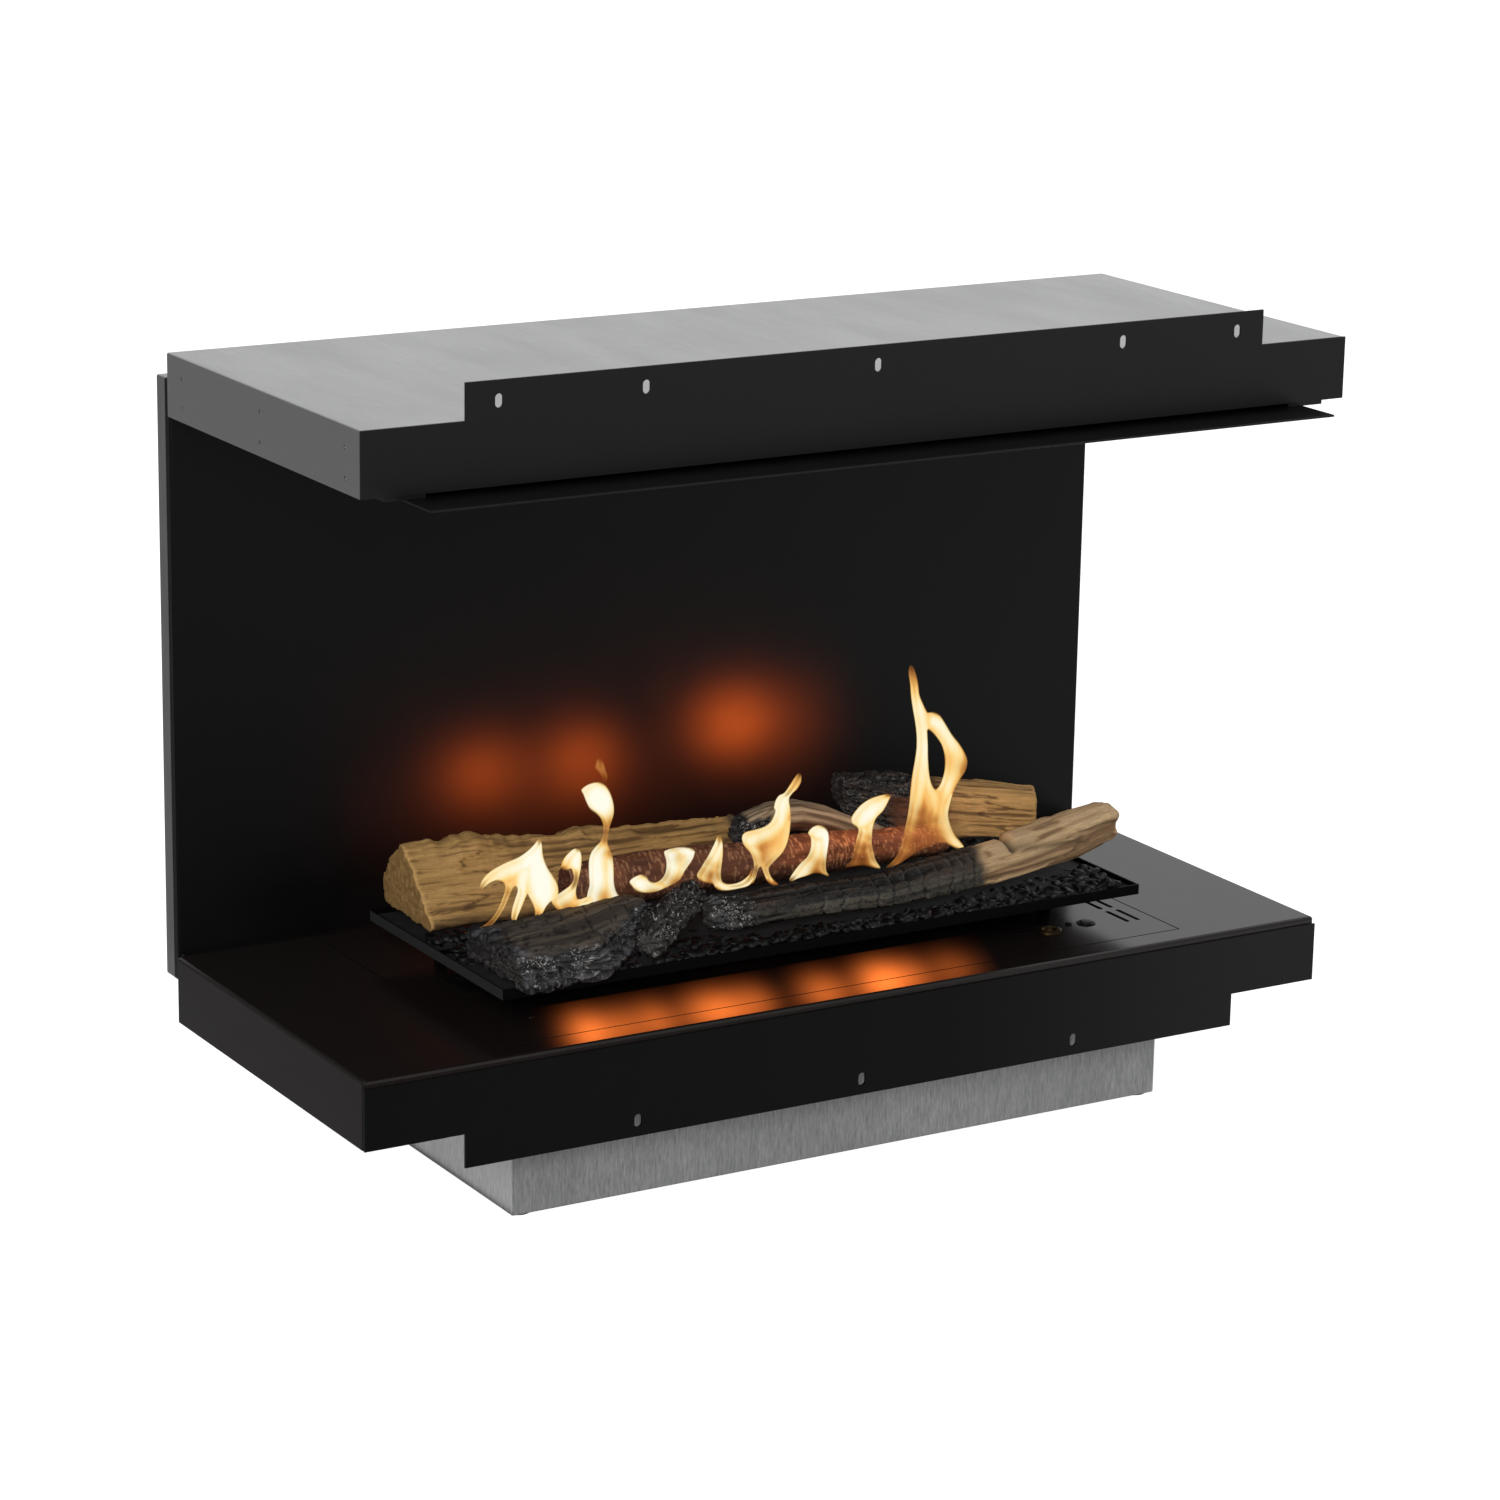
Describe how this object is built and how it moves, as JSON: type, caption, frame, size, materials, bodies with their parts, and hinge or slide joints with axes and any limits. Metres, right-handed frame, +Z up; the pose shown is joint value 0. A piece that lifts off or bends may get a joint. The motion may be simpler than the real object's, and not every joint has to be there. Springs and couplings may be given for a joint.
{
  "type": "built-in fireplace",
  "caption": "Three-sided built-in fireplace casing with galvanised hood, black back and hearth, automatic liquid-fuel burner and a lift-off tray of ceramic logs.",
  "frame": {"origin": "under the middle of the object's bounding box, on the plane its four feet stand on", "axes": "+X to the right as seen from the front, +Y from the front fascias to the rear shell, +Z up"},
  "size_m": [1, 0.468, 0.75],
  "materials": {
    "galvanised_steel": "galvanised, mottled satin",
    "black_paint": "satin black powder coat",
    "black_hearth_paint": "semi-gloss heat-proof black",
    "stainless_steel": "brushed",
    "brass": "polished",
    "black_plastic": "satin",
    "rubber": "matt",
    "smoked_window": "gloss, smoked",
    "circuit_board": "solder resist",
    "white_ceramic": "glazed ceramic",
    "copper_tube": "drawn tube",
    "ember_gravel": "matt black and grey lava gravel",
    "ceramic_log_tan": "matt ceramic fibre painted as bare split wood",
    "ceramic_log_grey": "matt ceramic fibre painted as weathered wood",
    "ceramic_log_char": "ceramic fibre painted as charred wood, some gloss"
  },
  "bodies": {
    "casing": {"hood_shell": "galvanised_steel", "hood_fascia": "black_paint", "hood_rail_front": "galvanised_steel", "hood_rail_middle": "galvanised_steel", "hood_rail_rear": "galvanised_steel", "ceiling_panel": "black_paint", "heat_deflector": "black_paint", "deflector_bar_left": "black_paint", "deflector_bar_right": "black_paint", "back_panel": "black_hearth_paint", "rear_shell": "galvanised_steel", "rear_stiffener_left": "galvanised_steel", "rear_stiffener_right": "galvanised_steel", "upper_rear_rail": "black_paint", "lower_rear_rail": "black_paint", "hearth_pan": "black_hearth_paint", "hearth_fascia": "black_paint", "burner_housing": "galvanised_steel", "foot_front_left": "rubber", "foot_rear_left": "rubber", "foot_front_right": "rubber", "foot_rear_right": "rubber", "burner_top_plate": "black_hearth_paint", "fuel_inlet": "brass", "button_bezel": "black_plastic", "status_window": "smoked_window", "plate_screw_left": "stainless_steel", "plate_screw_right": "stainless_steel", "burner_trough": "stainless_steel", "igniter": "white_ceramic", "fuel_tank": "stainless_steel", "tank_lid": "stainless_steel", "float_stem": "stainless_steel", "fuel_pump": "stainless_steel", "feed_pipe": "copper_tube", "fill_pipe": "stainless_steel", "control_board": "circuit_board", "power_inlet": "black_plastic", "fan_frame": "black_plastic"},
    "button": {"control_button": "black_plastic"},
    "valve": {"inlet_valve": "stainless_steel"},
    "float": {"level_float": "black_plastic"},
    "impeller": {"fan_impeller": "black_plastic"},
    "tray": {"log_tray": "black_paint", "tray_post_front_left": "black_paint", "tray_post_rear_left": "black_paint", "tray_post_front_right": "black_paint", "tray_post_rear_right": "black_paint", "ember_bed_front": "ember_gravel", "ember_bed_rear": "ember_gravel"},
    "rear_left_log": {"log_rear_left": "ceramic_log_tan"},
    "centre_log": {"log_centre": "ceramic_log_char"},
    "arched_log": {"log_arched": "ceramic_log_grey"},
    "rear_right_log": {"log_rear_right": "ceramic_log_tan"},
    "front_log": {"log_front": "ceramic_log_char"},
    "front_left_log": {"log_front_left": "ceramic_log_char"},
    "cross_log": {"log_cross": "ceramic_log_char"}
  },
  "joints": [
    {"name": "button_press", "type": "slide", "parent": "casing", "child": "button", "axis": [0, 0, -1], "range_m": [0, 0.0015], "stiffness_N_per_m": 900, "springref_m": -0.0008},
    {"name": "valve_press", "type": "slide", "parent": "casing", "child": "valve", "axis": [0, 0, -1], "range_m": [0, 0.003], "stiffness_N_per_m": 600, "springref_m": -0.002},
    {"name": "float_rise", "type": "slide", "parent": "casing", "child": "float", "axis": [0, 0, 1], "range_m": [0, 0.045]},
    {"name": "fan_spin", "type": "hinge", "parent": "casing", "child": "impeller", "pos_m": [0.3, -0.051, 0.1465], "axis": [0, 0, 1], "continuous": true},
    {"name": "tray_lift", "type": "slide", "parent": "casing", "child": "tray", "axis": [0, 0, 1], "range_m": [0, 0.25]},
    {"name": "rear_left_log_lift", "type": "slide", "parent": "tray", "child": "rear_left_log", "axis": [0, 0, 1], "range_m": [0, 0.12]},
    {"name": "centre_log_lift", "type": "slide", "parent": "tray", "child": "centre_log", "axis": [0, 0, 1], "range_m": [0, 0.12]},
    {"name": "arched_log_lift", "type": "slide", "parent": "tray", "child": "arched_log", "axis": [0, 0, 1], "range_m": [0, 0.12]},
    {"name": "rear_right_log_lift", "type": "slide", "parent": "tray", "child": "rear_right_log", "axis": [0, 0, 1], "range_m": [0, 0.12]},
    {"name": "front_log_lift", "type": "slide", "parent": "tray", "child": "front_log", "axis": [0, 0, 1], "range_m": [0, 0.12]},
    {"name": "front_left_log_lift", "type": "slide", "parent": "tray", "child": "front_left_log", "axis": [0, 0, 1], "range_m": [0, 0.12]},
    {"name": "cross_log_lift", "type": "slide", "parent": "tray", "child": "cross_log", "axis": [0, 0, 1], "range_m": [0, 0.12]}
  ]
}
